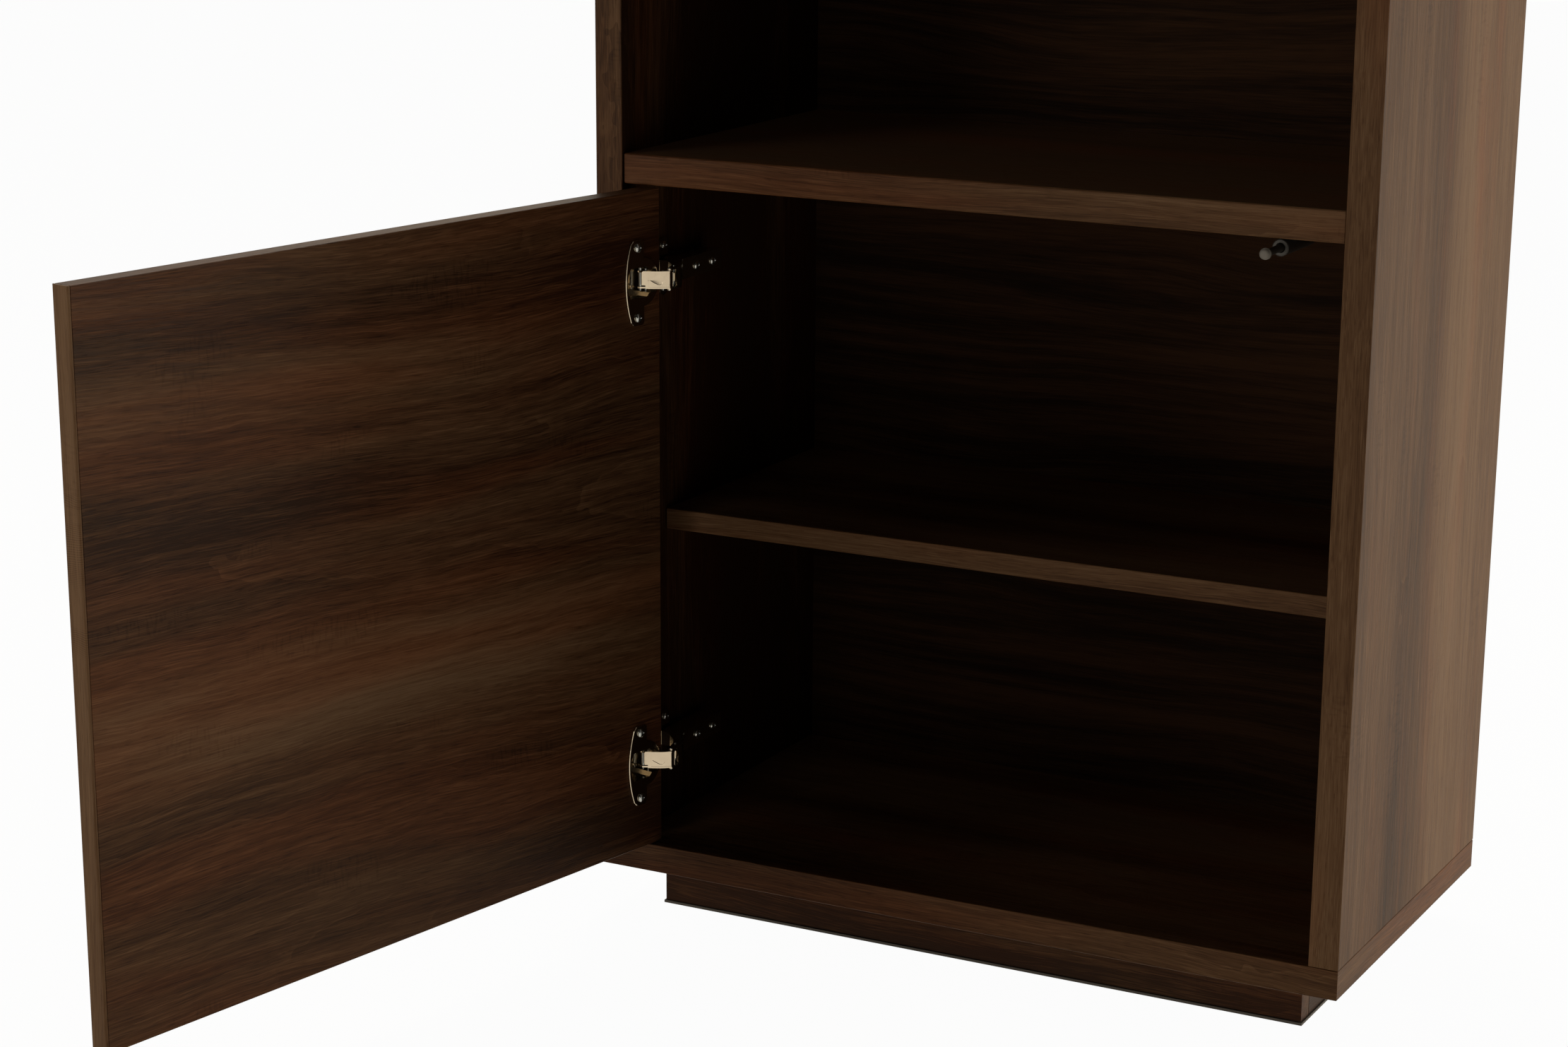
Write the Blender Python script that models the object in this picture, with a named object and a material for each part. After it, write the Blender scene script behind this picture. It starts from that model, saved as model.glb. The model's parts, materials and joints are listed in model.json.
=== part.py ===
"""Walnut floor cabinet with an open niche, an inset door on two concealed hinges and a push latch.

Metres, +Z up, front towards -Y. The origin is on the floor, under the middle of the front plinth board.
The door stands open. Its closed pose is worked out first, and the hinge links carry it to the open one.
"""
import bpy
import bmesh
from math import acos, atan2, cos, degrees, hypot, pi, radians, sin, sqrt
from mathutils import Matrix, Vector

for item in list(bpy.data.objects):
    bpy.data.objects.remove(item, do_unlink=True)

# Casing
WIDTH = 0.600
DEPTH = 0.320
HEIGHT = 0.900
BOARD = 0.022
ARRIS = 0.0004
FIT = 0.0003
FIXED_SHELF_TOP = 0.593
FIXED_SHELF_SETBACK = 0.002
FIXED_SHELF_ARRIS = 0.0008
INNER_SHELF_TOP = 0.312
INNER_SHELF_THICKNESS = 0.016
INNER_SHELF_SETBACK = 0.062
INNER_SHELF_PLAY = 0.001
BACK_PANEL_THICKNESS = 0.006
BACK_PANEL_RECESS = 0.003
GROOVE_DEPTH = 0.008

# Plinth
PLINTH_HEIGHT = 0.038
PLINTH_BOARD = 0.016
PLINTH_SIDE_INSET = 0.037
PLINTH_FRONT_INSET = 0.035
PLINTH_BACK_INSET = 0.020
FOOT_STRIP = 0.002
FOOT_STRIP_OVERHANG = 0.001

# Shelf pins
SHELF_PIN_RADIUS = 0.0025
SHELF_PIN_REACH = 0.008
SHELF_PIN_INSET = 0.037

# Door
DOOR_THICKNESS = 0.015
DOOR_SIDE_GAP = 0.002
DOOR_END_GAP = 0.0025
EDGE_BAND = 0.0017
EDGE_BAND_ROUND = 0.0013
OPEN_ANGLE = radians(100.77)

# Hinge cup, measured on the door from its hinge edge (across) and its inner face (deep)
HINGE_END_DISTANCE = 0.067
CUP_RADIUS = 0.0175
CUP_ACROSS = 0.0205
CUP_DEPTH = 0.0130
CUP_WALL = 0.0006
CUP_OPENING_HALF = 0.0112
CUP_BOSS_HALF = 0.0086
CUP_BOSS_ACROSS = 0.0144
CUP_BOSS_SLANT = 0.0014
FLANGE_THICKNESS = 0.0012
FLANGE_EASE = 0.0004
FLANGE_RADIUS = 0.0182
FLANGE_HALF_LENGTH = 0.0318
FLANGE_EAR_LOW = 0.0185
FLANGE_EAR_HIGH = 0.0320
FLANGE_CORNER = 0.0030
FLANGE_BULGE = 0.0067
CUP_SCREW_ACROSS = 0.0255
CUP_SCREW_SPACING = 0.052

# Hinge links, with each pin as (across, deep) on the closed door
CUP_PIN = (0.01162, 0.00850)
INNER_CUP_PIN = (0.00850, 0.00600)
ARM_PIN = (0.03290, 0.00621)
LINK_TURN = radians(24.93)
INNER_LINK_LENGTH = 0.0244
INNER_LINK_SLIPS = ((-0.00148, -0.00105), (-0.00120, -0.00133))
PIN_RADIUS = 0.0010
PIN_SEAT = 0.0012
PIN_HEAD_RADIUS = 0.0015
PIN_HEAD = 0.0004
EYE_RADIUS = 0.0021
OUTER_EYE_RADIUS = 0.0024
OUTER_LINK_HALF = 0.0065
OUTER_LINK_CHEEK = 0.0011
OUTER_LINK_WEB = 0.0011
OUTER_WEB_FRONT = 0.0028
OUTER_WEB_SINK = 0.0003
OUTER_RIM_END = 0.0050
OUTER_CHAMFER = 0.0010
OUTER_NOTCH = (0.0036, 0.0025)
DIMPLE_PLACE = (0.0071, 0.0041)
DIMPLE_RADIUS = 0.0022
DIMPLE_TAIL = 0.0060
DIMPLE_FLARE = 3.0
DIMPLE_RISE = 0.0012
INNER_LINK_HALF = 0.0030
INNER_LINK_STEEL = 0.0016

# Hinge arm and mounting plate, measured from the side board's face (x) and the front plane (y)
ARM_STEEL = 0.0010
ARM_TOP = 0.0215
ARM_FOOT = 0.0050
ARM_BACK = 0.1120
PLATE_THICKNESS = 0.0020
PLATE_HALF = 0.0065
PLATE_RAIL_HALF = 0.0055
PLATE_FRONT = 0.0500
PLATE_WING_RADIUS = 0.0060
PLATE_SCREW_DEPTH = 0.0570
PLATE_SCREW_SPACING = 0.032
ADJUST_SCREW_DEPTH = 0.0730
CLAMP_SCREW_DEPTH = 0.0980

# Screws
SCREW_RADIUS = 0.0018
SCREW_HEAD_RADIUS = 0.0034
SCREW_HEAD = 0.0018
SCREW_LENGTH = 0.0110

# Push latch, along its own axis from the front plane
LATCH_FROM_RIGHT = 0.0744
LATCH_DROP = 0.0095
LATCH_FRONT = 0.0218
LATCH_LENGTH = 0.0560
LATCH_RADIUS = 0.0060
LATCH_BORE = 0.0030
LATCH_END = 0.0018
LATCH_BASE_HALF = 0.0130
LATCH_BASE_LENGTH = 0.0300
LATCH_BASE_THICKNESS = 0.0022
LATCH_SCREW_OFFSET = 0.0095
PLUNGER_RADIUS = 0.0026
PLUNGER_OUT = 0.0104
PLUNGER_END = 0.0480
TIP_RADIUS = 0.0040
TIP_LENGTH = 0.0050
TIP_SOCKET = 0.0019
TIP_SOCKET_DEPTH = 0.0030

# Places that follow from the sizes
LEFT = -WIDTH / 2
RIGHT = WIDTH / 2
FRONT = -(PLINTH_FRONT_INSET + PLINTH_BOARD / 2)
BACK = FRONT + DEPTH
INSIDE_LEFT = LEFT + BOARD
INSIDE_RIGHT = RIGHT - BOARD
BOTTOM_TOP = PLINTH_HEIGHT + BOARD
TOP_UNDER = HEIGHT - BOARD
SHELF_UNDER = FIXED_SHELF_TOP - BOARD
INNER_SHELF_UNDER = INNER_SHELF_TOP - INNER_SHELF_THICKNESS
PANEL_BACK = BACK - BACK_PANEL_RECESS
PANEL_FRONT = PANEL_BACK - BACK_PANEL_THICKNESS
DOOR_WIDTH = WIDTH - 2 * BOARD - 2 * DOOR_SIDE_GAP
DOOR_BOTTOM = BOTTOM_TOP + DOOR_END_GAP
DOOR_TOP = SHELF_UNDER - DOOR_END_GAP
HINGE_HEIGHTS = {"upper": DOOR_TOP - HINGE_END_DISTANCE, "lower": DOOR_BOTTOM + HINGE_END_DISTANCE}
PIN_HOLE = PIN_RADIUS + FIT
SCREW_HOLE = SCREW_RADIUS + FIT
ARM_HALF_INSIDE = OUTER_LINK_HALF + FIT
ARM_HALF = ARM_HALF_INSIDE + ARM_STEEL
FLANGE_FACE = FIT + FLANGE_THICKNESS
ABOVE = 0.010


def finish(name, colour, roughness, metallic=0.0):
    """A Principled material."""
    material = bpy.data.materials.new(name)
    material.use_nodes = True
    shader = material.node_tree.nodes["Principled BSDF"]
    shader.inputs["Base Color"].default_value = (*colour, 1.0)
    shader.inputs["Roughness"].default_value = roughness
    shader.inputs["Metallic"].default_value = metallic
    material.diffuse_color = (*colour, 1.0)
    return material


WALNUT = finish("walnut", (0.080, 0.046, 0.027), 0.45)
WALNUT_EDGE = finish("walnut_edge", (0.062, 0.033, 0.020), 0.45)
PLINTH_BROWN = finish("plinth_brown", (0.024, 0.014, 0.009), 0.55)
FOOT_GREY = finish("foot_grey", (0.058, 0.051, 0.043), 0.8)
NICKEL = finish("nickel", (0.62, 0.57, 0.51), 0.25, 1.0)
SCREW_STEEL = finish("screw_steel", (0.50, 0.52, 0.55), 0.3, 1.0)
LATCH_GREY = finish("latch_grey", (0.16, 0.15, 0.14), 0.45)
TIP_GREY = finish("tip_grey", (0.48, 0.47, 0.45), 0.6)

# A prism's outline stands up (x, z) and its height runs towards -Y, or lies on the side board as (y, z)
STANDING = Matrix.Rotation(radians(90), 4, "X")
SIDEWAYS = Matrix(((0, 0, 1, 0), (1, 0, 0, 0), (0, 1, 0, 0), (0, 0, 0, 1)))


def rotated(point, angle):
    """A plan point turned about the origin."""
    x, y = point
    return (x * cos(angle) - y * sin(angle), x * sin(angle) + y * cos(angle))


def shifted(point, move):
    """A plan point moved by another."""
    return (point[0] + move[0], point[1] + move[1])


def between(start, end):
    """The step from one plan point to another."""
    return (end[0] - start[0], end[1] - start[1])


def heading(start, end):
    """The plan angle from one point to another."""
    step = between(start, end)
    return atan2(step[1], step[0])


def arc(centre, radius, start, end, steps):
    """Points along an arc, angles in degrees."""
    angles = [radians(start + (end - start) * step / steps) for step in range(steps + 1)]
    return [(centre[0] + radius * cos(angle), centre[1] + radius * sin(angle)) for angle in angles]


def rounded(corners, radius, steps=6):
    """The outline at a given distance round a few points, counter-clockwise."""
    outline = []
    for before, corner, after in zip(corners[-1:] + corners[:-1], corners, corners[1:] + corners[:1]):
        start = degrees(heading(before, corner)) - 90
        turn = (degrees(heading(corner, after)) - 90 - start) % 360
        outline += arc(corner, radius, start, start + turn, steps)
    return outline


def smooth(points, steps):
    """A rounded line through a few points, by Catmull-Rom curves."""
    ends = [points[0]] + list(points) + [points[-1]]
    line = []
    for parts in zip(ends, ends[1:], ends[2:], ends[3:]):
        for step in range(steps):
            t = step / steps
            square, cube = t * t, t * t * t
            weights = [2 * square - t - cube, 2 - 5 * square + 3 * cube]
            weights += [t + 4 * square - 3 * cube, cube - square]
            line.append(tuple(sum(w * p[axis] for w, p in zip(weights, parts)) / 2 for axis in (0, 1)))
    line.append(points[-1])
    return line


def offset(line, distance):
    """The line moved sideways, to its left when the distance is positive."""
    moved = []
    for index, point in enumerate(line):
        ahead = line[min(index + 1, len(line) - 1)]
        behind = line[max(index - 1, 0)]
        step = between(behind, ahead)
        share = distance / hypot(*step)
        moved.append(shifted(point, (-step[1] * share, step[0] * share)))
    return moved


def slab(low, high, arris=0.0):
    """A box between two corners, with eased edges."""
    form = bmesh.new()
    bmesh.ops.create_cube(form, size=1.0)
    bmesh.ops.scale(form, vec=[b - a for a, b in zip(low, high)], verts=form.verts)
    bmesh.ops.translate(form, vec=[(a + b) / 2 for a, b in zip(low, high)], verts=form.verts)
    if arris:
        bmesh.ops.bevel(form, geom=form.edges[:], offset=arris, segments=1, affect="EDGES")
    return form


def prism(outline, low, high, matrix=Matrix(), flare=1.0, ease=0.0):
    """An outline raised from one height to another, its top flared, the edges of its low face rounded."""
    form = bmesh.new()
    base = form.faces.new([form.verts.new((x, y, low)) for x, y in outline])
    raised = bmesh.ops.extrude_face_region(form, geom=[base])
    top = [part for part in raised["geom"] if isinstance(part, bmesh.types.BMVert)]
    bmesh.ops.translate(form, vec=(0, 0, high - low), verts=top)
    bmesh.ops.scale(form, vec=(flare, flare, 1.0), verts=top)
    if ease:
        bmesh.ops.bevel(form, geom=base.edges[:], offset=ease, segments=2, profile=0.5, affect="EDGES")
    bmesh.ops.recalc_face_normals(form, faces=form.faces[:])
    bmesh.ops.transform(form, matrix=matrix, verts=form.verts)
    return form


def turned(profile, sides, matrix=Matrix()):
    """A profile of (radius, height) points, from axis to axis, spun about Z."""
    form = bmesh.new()
    line = [form.verts.new((radius, 0, height)) for radius, height in profile]
    edges = [form.edges.new(pair) for pair in zip(line, line[1:])]
    bmesh.ops.spin(form, geom=line + edges, axis=(0, 0, 1), cent=(0, 0, 0), angle=2 * pi, steps=sides)
    bmesh.ops.remove_doubles(form, verts=form.verts, dist=0.000001)
    bmesh.ops.recalc_face_normals(form, faces=form.faces[:])
    bmesh.ops.transform(form, matrix=matrix, verts=form.verts)
    return form


def rod(radius, low, high, sides, matrix=Matrix()):
    """A plain cylinder along its matrix's Z."""
    return turned([(0, low), (radius, low), (radius, high), (0, high)], sides, matrix)


def facing(direction, point):
    """The matrix that turns Z to a direction and moves to a point."""
    return Matrix.Translation(point) @ Vector(direction).to_track_quat("Z", "Y").to_matrix().to_4x4()


def piece(name, form, material, parent=None, place=(0, 0, 0)):
    """A named object made from a form, its round faces smooth."""
    mesh = bpy.data.meshes.new(name)
    form.to_mesh(mesh)
    form.free()
    mesh.materials.append(material)
    mesh.shade_smooth()
    mesh.set_sharp_from_angle(angle=radians(35))
    made = bpy.data.objects.new(name, mesh)
    bpy.context.collection.objects.link(made)
    made.parent = parent
    made.location = place
    return made


def combine(target, form, operation="DIFFERENCE"):
    """Cuts a form out of a piece, or adds it, in the piece's own frame."""
    name = f"{target.name}_tool_{len(target.modifiers) + 1}"
    tool = piece(name, form, target.data.materials[0], target.parent, target.location)
    tool.hide_render = True
    tool.display_type = "WIRE"
    modifier = target.modifiers.new(operation.title(), "BOOLEAN")
    modifier.operation = operation
    modifier.object = tool


def axis_empty(name, point, turn):
    """An empty on an upright joint axis."""
    empty = bpy.data.objects.new(name, None)
    empty.empty_display_size = 0.02
    bpy.context.collection.objects.link(empty)
    empty.location = (*point, 0)
    empty.rotation_euler.z = turn
    return empty


def screw(name, direction, seat, parent=None, place=(0, 0, 0)):
    """A domed cross-slot screw with its head on a seat point and its shank along a direction."""
    head, cap = SCREW_HEAD_RADIUS, SCREW_HEAD
    dome = [(0, -cap), (head * 0.55, -cap * 0.93), (head * 0.88, -cap * 0.6), (head, -cap * 0.1), (head, 0)]
    shank = [(SCREW_RADIUS, 0), (SCREW_RADIUS, SCREW_LENGTH - SCREW_RADIUS * 1.5), (0, SCREW_LENGTH)]
    matrix = facing(direction, seat)
    made = piece(name, turned(dome + shank, 16, matrix), SCREW_STEEL, parent, place)
    reach, width = head * 0.5, head * 0.12
    corners = [(reach, width), (width, width), (width, reach)]
    cross = []
    for quarter in range(4):
        cross += [rotated(corner, quarter * pi / 2) for corner in corners]
    combine(made, prism(cross, -cap * 1.5, -cap * 0.45, matrix))


# The linkage, worked out from the closed door
CLOSED_CORNER = (INSIDE_LEFT + DOOR_SIDE_GAP, FRONT + DOOR_THICKNESS)


def on_closed_door(pin):
    """The plan point of a pin given as (across, deep), with the door closed."""
    return shifted(CLOSED_CORNER, (pin[0], -pin[1]))


def on_door(across, deep):
    """The same point in the door's own frame, whose origin is the cup pin."""
    return (across - CUP_PIN[0], CUP_PIN[1] - deep)


def pivot_between(start, end, reach):
    """The point at a given reach from both points, on the side of the casing's back."""
    step = between(start, end)
    half = hypot(*step) / 2
    rise = sqrt(reach ** 2 - half ** 2) / (2 * half)
    middle = shifted(start, (step[0] / 2, step[1] / 2))
    side = (-step[1] * rise, step[0] * rise)
    return max(shifted(middle, side), between(side, middle), key=lambda point: point[1])


ARM_AXIS = on_closed_door(ARM_PIN)
CUP_AXIS_CLOSED = on_closed_door(CUP_PIN)
CUP_AXIS = shifted(ARM_AXIS, rotated(between(ARM_AXIS, CUP_AXIS_CLOSED), LINK_TURN))
INNER_AXIS_CLOSED = on_closed_door(INNER_CUP_PIN)
INNER_AXIS = shifted(CUP_AXIS, rotated(between(CUP_AXIS_CLOSED, INNER_AXIS_CLOSED), -OPEN_ANGLE))
ARM_INNER_AXIS = pivot_between(INNER_AXIS_CLOSED, INNER_AXIS, INNER_LINK_LENGTH)
LINK_LENGTH = hypot(*between(ARM_AXIS, CUP_AXIS))


DOOR_FRAME = axis_empty("door_axis", CUP_AXIS, -OPEN_ANGLE)
OUTER_FRAME = axis_empty("outer_link_axis", ARM_AXIS, heading(ARM_AXIS, CUP_AXIS))
INNER_FRAME = axis_empty("inner_link_axis", INNER_AXIS, heading(INNER_AXIS, ARM_INNER_AXIS))


def casing():
    """Two sides between a full-width bottom and top, two shelves and a grooved-in back panel."""
    boards = []
    for name, left in (("left_side", LEFT), ("right_side", INSIDE_RIGHT)):
        low = (left, FRONT, BOTTOM_TOP + FIT)
        boards.append(piece(name, slab(low, (left + BOARD, BACK, TOP_UNDER - FIT), ARRIS), WALNUT))
    for name, under in (("bottom_panel", PLINTH_HEIGHT), ("top_panel", TOP_UNDER)):
        boards.append(piece(name, slab((LEFT, FRONT, under), (RIGHT, BACK, under + BOARD), ARRIS), WALNUT))
    sunk = GROOVE_DEPTH - FIT
    low = (INSIDE_LEFT - sunk, PANEL_FRONT, BOTTOM_TOP - sunk)
    high = (INSIDE_RIGHT + sunk, PANEL_BACK, TOP_UNDER + sunk)
    piece("back_panel", slab(low, high), WALNUT)
    for board in boards:
        combine(board, slab([edge - FIT for edge in low], [edge + FIT for edge in high]))
    low = (INSIDE_LEFT + FIT, FRONT + FIXED_SHELF_SETBACK, SHELF_UNDER)
    high = (INSIDE_RIGHT - FIT, PANEL_FRONT - FIT, FIXED_SHELF_TOP)
    fixed_shelf = piece("fixed_shelf", slab(low, high, FIXED_SHELF_ARRIS), WALNUT)
    low = (INSIDE_LEFT + INNER_SHELF_PLAY, FRONT + INNER_SHELF_SETBACK, INNER_SHELF_UNDER)
    high = (INSIDE_RIGHT - INNER_SHELF_PLAY, PANEL_FRONT - INNER_SHELF_PLAY, INNER_SHELF_TOP)
    piece("inner_shelf", slab(low, high, ARRIS), WALNUT)
    return boards[0], boards[1], fixed_shelf


def shelf_pins(left_side, right_side):
    """Four pegs in the sides, just under the inner shelf."""
    height = INNER_SHELF_UNDER - FIT - SHELF_PIN_RADIUS
    depths = {"front": FRONT + INNER_SHELF_SETBACK + SHELF_PIN_INSET, "back": PANEL_FRONT - SHELF_PIN_INSET}
    bore = SHELF_PIN_RADIUS + FIT
    outer = SHELF_PIN_RADIUS * 0.7
    shoulder = SHELF_PIN_REACH - SHELF_PIN_RADIUS * 0.3
    profile = [(0, FIT - SHELF_PIN_REACH), (SHELF_PIN_RADIUS, FIT - SHELF_PIN_REACH)]
    profile += [(SHELF_PIN_RADIUS, shoulder), (outer, SHELF_PIN_REACH), (0, SHELF_PIN_REACH)]
    sides = (("left", left_side, INSIDE_LEFT, 1), ("right", right_side, INSIDE_RIGHT, -1))
    for side, board, face, inward in sides:
        for depth_name, depth in depths.items():
            matrix = facing((inward, 0, 0), (face, depth, height))
            piece(f"shelf_pin_{side}_{depth_name}", turned(profile, 16, matrix), NICKEL)
            combine(board, rod(bore, -SHELF_PIN_REACH, SHELF_PIN_REACH, 16, matrix))


def plinth():
    """A frame of four boards under the bottom panel, each on its own foot strip."""
    left = LEFT + PLINTH_SIDE_INSET
    back = BACK - PLINTH_BACK_INSET
    front = FRONT + PLINTH_FRONT_INSET
    rails = {
        "front": ((left, front), (-left, front + PLINTH_BOARD)),
        "back": ((left, back - PLINTH_BOARD), (-left, back)),
        "left": ((left, front + PLINTH_BOARD + FIT), (left + PLINTH_BOARD, back - PLINTH_BOARD - FIT)),
        "right": ((-left - PLINTH_BOARD, front + PLINTH_BOARD + FIT), (-left, back - PLINTH_BOARD - FIT)),
    }
    proud = {"front": (-1, -1, 1, 0), "back": (-1, 0, 1, 1), "left": (-1, 0, 0, 0), "right": (0, 0, 1, 0)}
    for name, (low, high) in rails.items():
        board = slab((*low, FOOT_STRIP + FIT), (*high, PLINTH_HEIGHT - FIT), ARRIS)
        piece(f"plinth_{name}", board, PLINTH_BROWN)
        x_low, y_low, x_high, y_high = [side * FOOT_STRIP_OVERHANG for side in proud[name]]
        strip = slab((low[0] + x_low, low[1] + y_low, 0), (high[0] + x_high, high[1] + y_high, FOOT_STRIP))
        piece(f"foot_strip_{name}", strip, FOOT_GREY)


def door():
    """The inset door board and the thick rounded band on its free edge."""
    low = (*on_door(0, DOOR_THICKNESS), DOOR_BOTTOM)
    high = (*on_door(DOOR_WIDTH - EDGE_BAND - FIT, 0), DOOR_TOP)
    board = piece("door", slab(low, high, ARRIS), WALNUT, DOOR_FRAME)
    inner_x, outer_y = on_door(DOOR_WIDTH - EDGE_BAND, 0)
    outer_x = inner_x + EDGE_BAND
    round_x = outer_x - EDGE_BAND_ROUND
    lower_y = outer_y - DOOR_THICKNESS
    outline = [(inner_x, outer_y), (inner_x, lower_y)]
    outline += arc((round_x, lower_y + EDGE_BAND_ROUND), EDGE_BAND_ROUND, -90, 0, 4)
    outline += arc((round_x, outer_y - EDGE_BAND_ROUND), EDGE_BAND_ROUND, 0, 90, 4)
    piece("door_edge_band", prism(outline, DOOR_BOTTOM, DOOR_TOP), WALNUT_EDGE, DOOR_FRAME)
    return board


def cup_prism(outline, shallow, deep, ease=0.0):
    """An (across, height) outline on the door, from one depth to another."""
    moved = [(across - CUP_PIN[0], height) for across, height in outline]
    return prism(moved, shallow - CUP_PIN[1], deep - CUP_PIN[1], STANDING, ease=ease)


def flange_outline():
    """Two rounded ears joined by the round rim, with a bowed free edge."""
    corner = FLANGE_CORNER
    ear = FLANGE_HALF_LENGTH - corner
    low, high = FLANGE_EAR_LOW + corner, FLANGE_EAR_HIGH - corner
    bow_radius = (FLANGE_HALF_LENGTH ** 2 + FLANGE_BULGE ** 2) / (2 * FLANGE_BULGE)
    bow_centre = (FLANGE_EAR_HIGH + FLANGE_BULGE - bow_radius, 0)
    bow = degrees(atan2(ear, sqrt(bow_radius ** 2 - ear ** 2)))
    step = FLANGE_EAR_LOW - CUP_ACROSS
    rim = degrees(atan2(sqrt(FLANGE_RADIUS ** 2 - step ** 2), step))
    outline = arc(bow_centre, bow_radius, -bow, bow, 16) + arc((high, ear), corner, 30, 90, 3)
    outline += arc((low, ear), corner, 90, 180, 4)
    outline += arc((CUP_ACROSS, 0), FLANGE_RADIUS, rim, 360 - rim, 20)
    return outline + arc((low, -ear), corner, 180, 270, 4) + arc((high, -ear), corner, 270, 330, 3)


def opening_outline():
    """The cup's mouth: round at the free side, stepped in beside the pins to form their bosses."""
    inside = CUP_RADIUS - CUP_WALL
    wide = degrees(atan2(CUP_OPENING_HALF, sqrt(inside ** 2 - CUP_OPENING_HALF ** 2)))
    narrow = degrees(atan2(CUP_BOSS_HALF, sqrt(inside ** 2 - CUP_BOSS_HALF ** 2)))
    outline = arc((CUP_ACROSS, 0), inside, -wide, wide, 10)
    near, far = CUP_BOSS_ACROSS - CUP_BOSS_SLANT, CUP_BOSS_ACROSS + CUP_BOSS_SLANT
    outline += [(far, CUP_OPENING_HALF), (near, CUP_BOSS_HALF)]
    outline += arc((CUP_ACROSS, 0), inside, 180 - narrow, 180 + narrow, 8)
    return outline + [(near, -CUP_BOSS_HALF), (far, -CUP_OPENING_HALF)]


def hinge_cup(name, height, board):
    """The cup with its flange, its two pins and two screws, on the door."""
    place = (0, 0, height)
    across = CUP_ACROSS - CUP_PIN[0]
    centre = STANDING @ Matrix.Translation((across, 0, -CUP_PIN[1]))
    flange = cup_prism(flange_outline(), -FLANGE_FACE, -FIT, FLANGE_EASE)
    cup = piece(f"{name}_hinge_cup", flange, NICKEL, DOOR_FRAME, place)
    combine(cup, rod(CUP_RADIUS, -FLANGE_FACE + FLANGE_THICKNESS / 2, CUP_DEPTH, 48, centre), "UNION")
    combine(cup, cup_prism(opening_outline(), -ABOVE, CUP_DEPTH - CUP_WALL))
    at_height = Matrix.Translation((0, 0, height))
    combine(board, rod(CUP_RADIUS + FIT, -ABOVE, CUP_DEPTH + FIT, 48, at_height @ centre))
    pin_end = CUP_BOSS_HALF + PIN_SEAT
    for pin_name, pin in (("outer", CUP_PIN), ("inner", INNER_CUP_PIN)):
        stand = Matrix.Translation((*on_door(*pin), 0))
        pin_form = rod(PIN_RADIUS, -pin_end, pin_end, 12, stand)
        piece(f"{name}_cup_pin_{pin_name}", pin_form, SCREW_STEEL, DOOR_FRAME, place)
        combine(cup, rod(PIN_HOLE, -pin_end - FIT, pin_end + FIT, 12, stand))
    for end_name, end in (("top", 1), ("bottom", -1)):
        x, y = on_door(CUP_SCREW_ACROSS, -FLANGE_FACE - FIT)
        seat = (x, y, end * CUP_SCREW_SPACING / 2)
        screw(f"{name}_cup_screw_{end_name}", (0, -1, 0), seat, DOOR_FRAME, place)
        bore = facing((0, -1, 0), seat)
        combine(cup, rod(SCREW_HOLE, -ABOVE, ABOVE, 12, bore))
        combine(board, rod(SCREW_HOLE, -ABOVE, SCREW_LENGTH + FIT, 12, at_height @ bore))


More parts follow.
